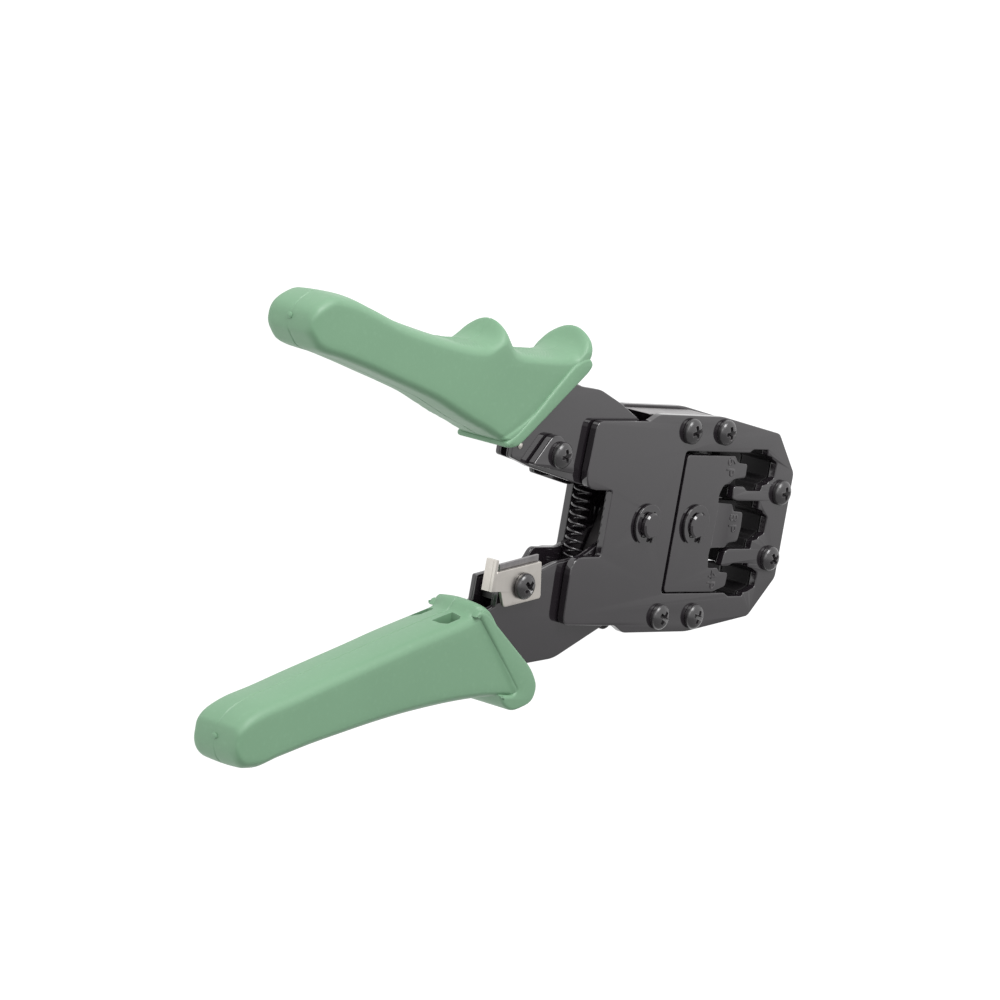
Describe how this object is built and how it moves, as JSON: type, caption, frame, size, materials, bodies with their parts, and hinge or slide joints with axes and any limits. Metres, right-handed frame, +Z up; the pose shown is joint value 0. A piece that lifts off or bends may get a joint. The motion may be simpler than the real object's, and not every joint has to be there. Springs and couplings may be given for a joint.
{
  "type": "crimping tool",
  "caption": "Hand crimping tool for modular plugs: a plate head with stepped plug cavities, a toggle-driven slide, a wire blade with a stop, and moulded grips on sprung handles.",
  "frame": {"origin": "rear end of the main pivot pin, on the pin's axis, with the tool lying on its back", "axes": "+X along the tool from the handles to the head's tip, +Y from the lower handle (with the blade and wire stop) to the upper one, +Z up through the head from its rear plate to its front plate"},
  "size_m": [0.1885, 0.1036, 0.0165],
  "materials": {
    "black_steel": "black oxide and lacquer, semi-gloss",
    "black_screw": "black oxide, semi-gloss",
    "green_grip": "moulded vinyl, satin",
    "bright_steel": "bright zinc plate",
    "ground_steel": "ground",
    "dark_steel": "hardened, dark"
  },
  "bodies": {
    "head": {"front_plate": "black_steel", "rear_plate": "black_steel", "upper_spacer": "ground_steel", "lower_spacer": "ground_steel", "die_block": "black_steel", "plate_screw_1": "black_screw", "plate_screw_2": "black_screw", "plate_screw_3": "black_screw", "plate_screw_4": "black_screw", "plate_screw_5": "black_screw", "plate_screw_6": "black_screw", "pivot_pin": "black_steel", "pivot_ring": "black_steel"},
    "slide": {"slide_front_plate": "black_steel", "slide_rear_plate": "black_steel", "ram_block": "black_steel", "crimp_punch_8p": "ground_steel", "crimp_punch_6p": "ground_steel", "crimp_punch_4p": "ground_steel", "ram_pin": "black_steel", "ram_ring": "black_steel"},
    "lower_arm": {"lower_handle": "black_steel", "toggle_arm": "dark_steel", "arm_rivet": "dark_steel", "link_pin": "dark_steel", "lower_spring_seat": "dark_steel", "return_spring": "black_steel", "blade": "ground_steel", "blade_nut": "dark_steel", "wire_stop": "bright_steel", "wire_stop_screw": "black_screw", "lower_grip": "green_grip"},
    "upper_arm": {"upper_handle": "black_steel", "upper_spring_seat": "dark_steel", "anvil_plate": "black_steel", "anvil_screw": "black_screw", "anvil_nut": "dark_steel", "upper_grip": "green_grip"}
  },
  "joints": [
    {"name": "lower_handle_pivot", "type": "hinge", "parent": "head", "child": "lower_arm", "pos_m": [0, 0, 0.0077], "axis": [0, 0, 1], "range_deg": [-11.5, 0], "stiffness_Nm_per_rad": 3, "springref_deg": 6.88},
    {"name": "upper_handle_pivot", "type": "hinge", "parent": "lower_arm", "child": "upper_arm", "pos_m": [0.0095, 0.01028, 0.0077], "axis": [0, 0, 1], "range_deg": [0, 23], "deforming": ["return_spring"]},
    {"name": "slide_travel", "type": "slide", "parent": "head", "child": "slide", "axis": [1, 0, 0], "range_m": [0, 0.00372]}
  ],
  "couplings": [
    {"joint": "upper_handle_pivot", "follows": "lower_handle_pivot", "ratio": -2},
    {"joint": "slide_travel", "follows": "lower_handle_pivot", "m_per_rad": -0.018529}
  ]
}
